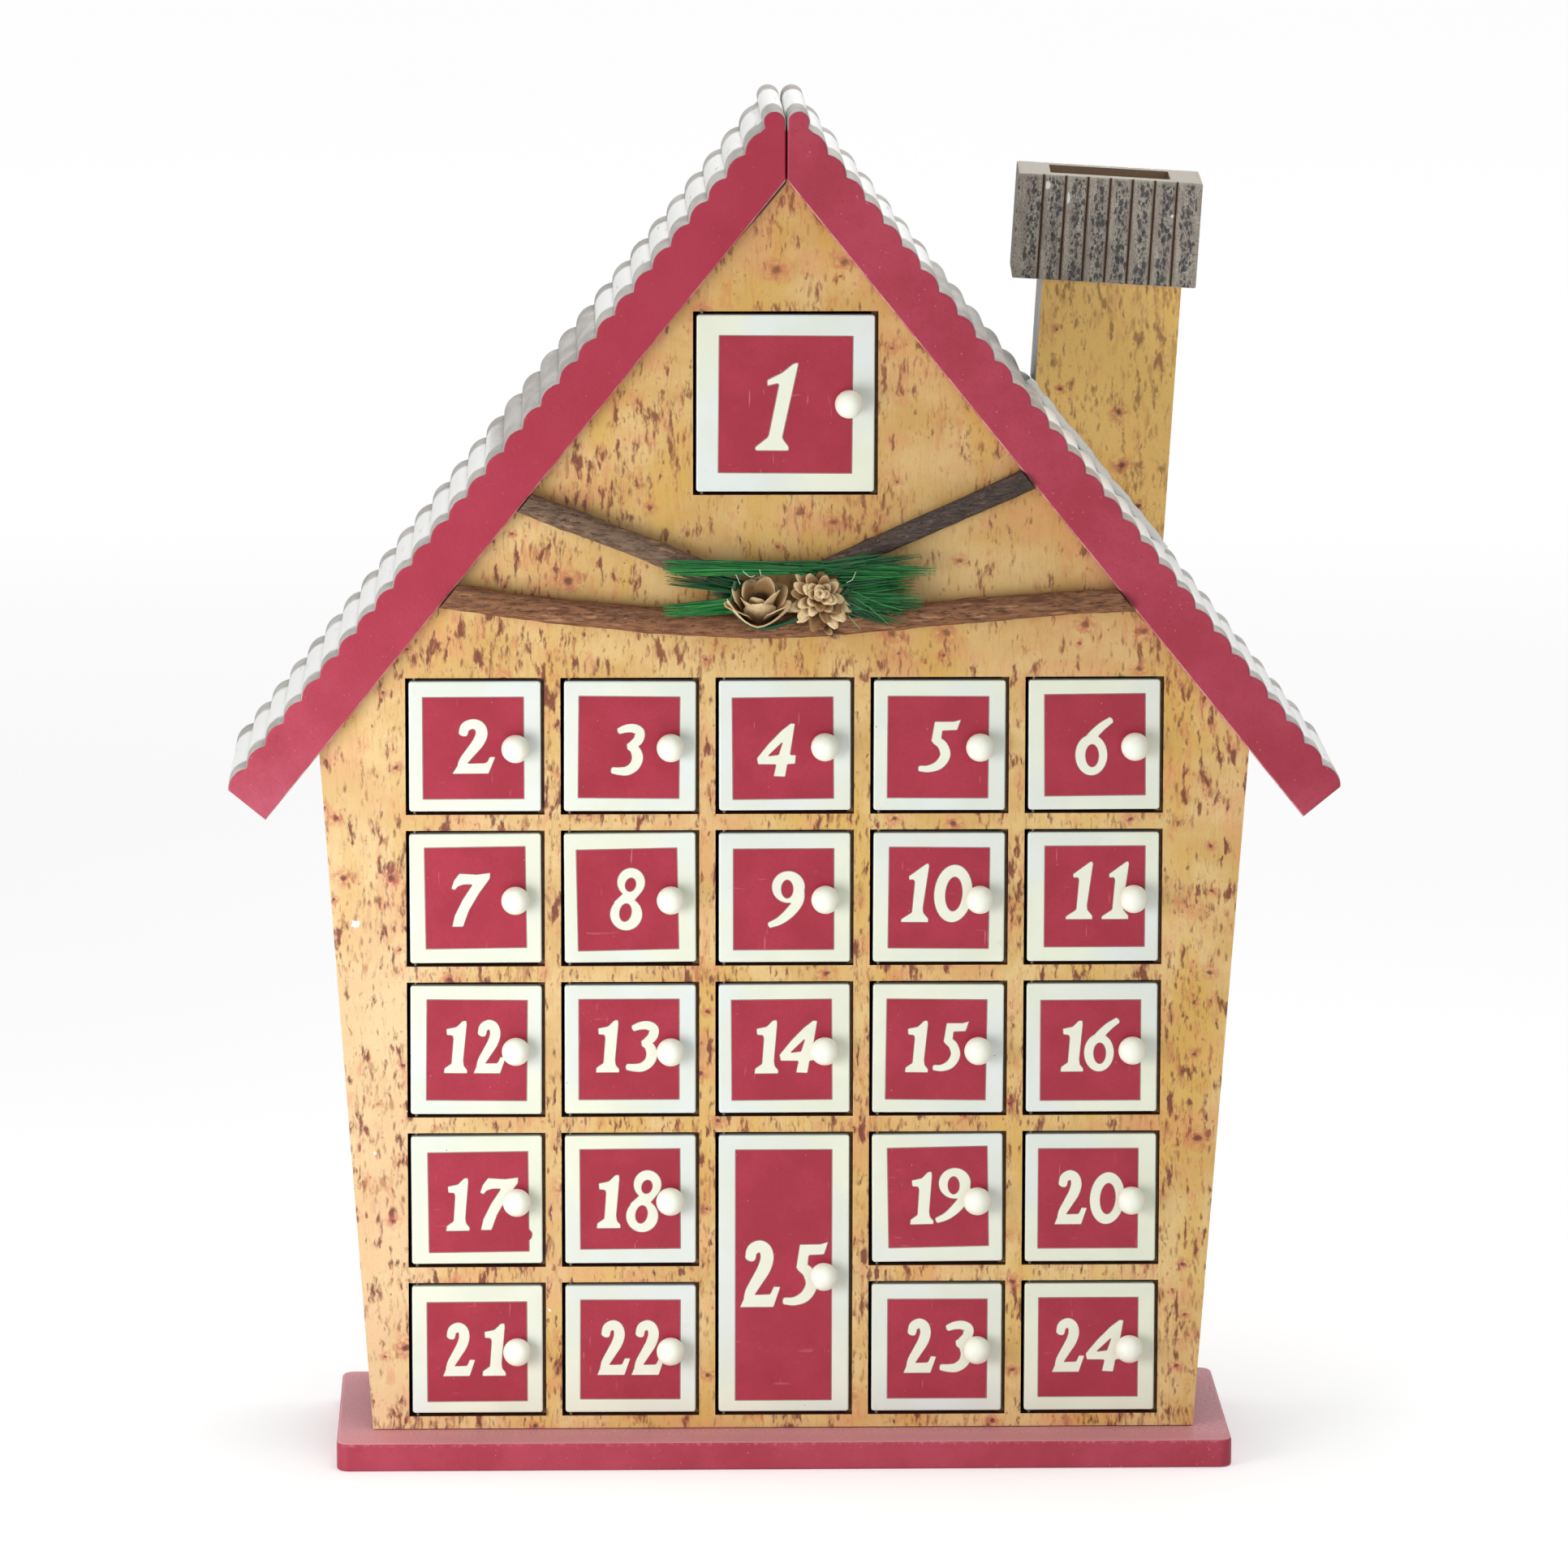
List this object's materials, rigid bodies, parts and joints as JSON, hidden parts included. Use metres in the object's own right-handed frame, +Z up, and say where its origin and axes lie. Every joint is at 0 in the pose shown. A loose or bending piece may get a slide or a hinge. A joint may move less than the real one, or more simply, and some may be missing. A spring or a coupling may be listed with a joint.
{
  "type": "house advent calendar",
  "caption": "Gabled wooden house box on a plinth, with a grid of small numbered hinged doors, each with a bead knob and its own compartment, a ribbed roof, a chimney and a twig garland.",
  "frame": {"origin": "middle of the plinth's underside", "axes": "+Z up, +X to the right as seen from the front, the doors face -Y"},
  "size_m": [0.3446, 0.1001, 0.4246],
  "materials": {
    "red_board": "matte red paint on fibreboard",
    "printed_board": "satin amber wood-grain print on fibreboard",
    "taupe_board": "matte grey-brown paint on fibreboard",
    "raw_board": "raw thin fibreboard",
    "door_board": "satin cream paint with a red printed field and bead knob",
    "bark": "natural rough bark",
    "needles": "green plastic film needles",
    "cone": "dry natural cone scales"
  },
  "bodies": {
    "house": {"base_plinth": "red_board", "front_panel": "printed_board", "back_panel": "raw_board", "side_wall_left": "taupe_board", "side_wall_right": "taupe_board", "roof_left": "red_board", "roof_right": "red_board", "chimney_shaft": "printed_board", "chimney_cap": "taupe_board", "shelf_0": "raw_board", "shelf_1_left": "raw_board", "shelf_1_right": "raw_board", "shelf_2": "raw_board", "shelf_3": "raw_board", "shelf_4": "raw_board", "shelf_5": "raw_board", "divider_1": "raw_board", "divider_2": "raw_board", "divider_3": "raw_board", "divider_4": "raw_board", "divider_5": "raw_board", "divider_6": "raw_board", "gable_floor": "raw_board", "gable_side_left": "raw_board", "gable_side_right": "raw_board", "gable_ceiling": "raw_board", "twig_lower": "bark", "twig_upper_left": "bark", "twig_upper_right": "bark", "pine_sprig": "needles", "pinecone_left": "cone", "pinecone_right": "cone"},
    "door_01_leaf": {"door_01": "door_board"},
    "door_02_leaf": {"door_02": "door_board"},
    "door_03_leaf": {"door_03": "door_board"},
    "door_04_leaf": {"door_04": "door_board"},
    "door_05_leaf": {"door_05": "door_board"},
    "door_06_leaf": {"door_06": "door_board"},
    "door_07_leaf": {"door_07": "door_board"},
    "door_08_leaf": {"door_08": "door_board"},
    "door_09_leaf": {"door_09": "door_board"},
    "door_10_leaf": {"door_10": "door_board"},
    "door_11_leaf": {"door_11": "door_board"},
    "door_12_leaf": {"door_12": "door_board"},
    "door_13_leaf": {"door_13": "door_board"},
    "door_14_leaf": {"door_14": "door_board"},
    "door_15_leaf": {"door_15": "door_board"},
    "door_16_leaf": {"door_16": "door_board"},
    "door_17_leaf": {"door_17": "door_board"},
    "door_18_leaf": {"door_18": "door_board"},
    "door_19_leaf": {"door_19": "door_board"},
    "door_20_leaf": {"door_20": "door_board"},
    "door_21_leaf": {"door_21": "door_board"},
    "door_22_leaf": {"door_22": "door_board"},
    "door_23_leaf": {"door_23": "door_board"},
    "door_24_leaf": {"door_24": "door_board"},
    "door_25_leaf": {"door_25": "door_board"}
  },
  "joints": [
    {"name": "door_01_hinge", "type": "hinge", "parent": "house", "child": "door_01_leaf", "pos_m": [-0.02573, -0.0271, 0.3338], "axis": [0, 0, -1], "range_deg": [0, 100]},
    {"name": "door_02_hinge", "type": "hinge", "parent": "house", "child": "door_02_leaf", "pos_m": [-0.11473, -0.0271, 0.2268], "axis": [0, 0, -1], "range_deg": [0, 100]},
    {"name": "door_03_hinge", "type": "hinge", "parent": "house", "child": "door_03_leaf", "pos_m": [-0.06673, -0.0271, 0.2268], "axis": [0, 0, -1], "range_deg": [0, 100]},
    {"name": "door_04_hinge", "type": "hinge", "parent": "house", "child": "door_04_leaf", "pos_m": [-0.01873, -0.0271, 0.2268], "axis": [0, 0, -1], "range_deg": [0, 100]},
    {"name": "door_05_hinge", "type": "hinge", "parent": "house", "child": "door_05_leaf", "pos_m": [0.02927, -0.0271, 0.2268], "axis": [0, 0, -1], "range_deg": [0, 100]},
    {"name": "door_06_hinge", "type": "hinge", "parent": "house", "child": "door_06_leaf", "pos_m": [0.07727, -0.0271, 0.2268], "axis": [0, 0, -1], "range_deg": [0, 100]},
    {"name": "door_07_hinge", "type": "hinge", "parent": "house", "child": "door_07_leaf", "pos_m": [-0.11473, -0.0271, 0.1788], "axis": [0, 0, -1], "range_deg": [0, 100]},
    {"name": "door_08_hinge", "type": "hinge", "parent": "house", "child": "door_08_leaf", "pos_m": [-0.06673, -0.0271, 0.1788], "axis": [0, 0, -1], "range_deg": [0, 100]},
    {"name": "door_09_hinge", "type": "hinge", "parent": "house", "child": "door_09_leaf", "pos_m": [-0.01873, -0.0271, 0.1788], "axis": [0, 0, -1], "range_deg": [0, 100]},
    {"name": "door_10_hinge", "type": "hinge", "parent": "house", "child": "door_10_leaf", "pos_m": [0.02927, -0.0271, 0.1788], "axis": [0, 0, -1], "range_deg": [0, 100]},
    {"name": "door_11_hinge", "type": "hinge", "parent": "house", "child": "door_11_leaf", "pos_m": [0.07727, -0.0271, 0.1788], "axis": [0, 0, -1], "range_deg": [0, 100]},
    {"name": "door_12_hinge", "type": "hinge", "parent": "house", "child": "door_12_leaf", "pos_m": [-0.11473, -0.0271, 0.1308], "axis": [0, 0, -1], "range_deg": [0, 100]},
    {"name": "door_13_hinge", "type": "hinge", "parent": "house", "child": "door_13_leaf", "pos_m": [-0.06673, -0.0271, 0.1308], "axis": [0, 0, -1], "range_deg": [0, 100]},
    {"name": "door_14_hinge", "type": "hinge", "parent": "house", "child": "door_14_leaf", "pos_m": [-0.01873, -0.0271, 0.1308], "axis": [0, 0, -1], "range_deg": [0, 100]},
    {"name": "door_15_hinge", "type": "hinge", "parent": "house", "child": "door_15_leaf", "pos_m": [0.02927, -0.0271, 0.1308], "axis": [0, 0, -1], "range_deg": [0, 100]},
    {"name": "door_16_hinge", "type": "hinge", "parent": "house", "child": "door_16_leaf", "pos_m": [0.07727, -0.0271, 0.1308], "axis": [0, 0, -1], "range_deg": [0, 100]},
    {"name": "door_17_hinge", "type": "hinge", "parent": "house", "child": "door_17_leaf", "pos_m": [-0.11473, -0.0271, 0.0828], "axis": [0, 0, -1], "range_deg": [0, 100]},
    {"name": "door_18_hinge", "type": "hinge", "parent": "house", "child": "door_18_leaf", "pos_m": [-0.06673, -0.0271, 0.0828], "axis": [0, 0, -1], "range_deg": [0, 100]},
    {"name": "door_19_hinge", "type": "hinge", "parent": "house", "child": "door_19_leaf", "pos_m": [0.02927, -0.0271, 0.0828], "axis": [0, 0, -1], "range_deg": [0, 100]},
    {"name": "door_20_hinge", "type": "hinge", "parent": "house", "child": "door_20_leaf", "pos_m": [0.07727, -0.0271, 0.0828], "axis": [0, 0, -1], "range_deg": [0, 100]},
    {"name": "door_21_hinge", "type": "hinge", "parent": "house", "child": "door_21_leaf", "pos_m": [-0.11473, -0.0271, 0.0348], "axis": [0, 0, -1], "range_deg": [0, 100]},
    {"name": "door_22_hinge", "type": "hinge", "parent": "house", "child": "door_22_leaf", "pos_m": [-0.06673, -0.0271, 0.0348], "axis": [0, 0, -1], "range_deg": [0, 100]},
    {"name": "door_23_hinge", "type": "hinge", "parent": "house", "child": "door_23_leaf", "pos_m": [0.02927, -0.0271, 0.0348], "axis": [0, 0, -1], "range_deg": [0, 100]},
    {"name": "door_24_hinge", "type": "hinge", "parent": "house", "child": "door_24_leaf", "pos_m": [0.07727, -0.0271, 0.0348], "axis": [0, 0, -1], "range_deg": [0, 100]},
    {"name": "door_25_hinge", "type": "hinge", "parent": "house", "child": "door_25_leaf", "pos_m": [-0.01873, -0.0271, 0.0588], "axis": [0, 0, -1], "range_deg": [0, 100]}
  ]
}
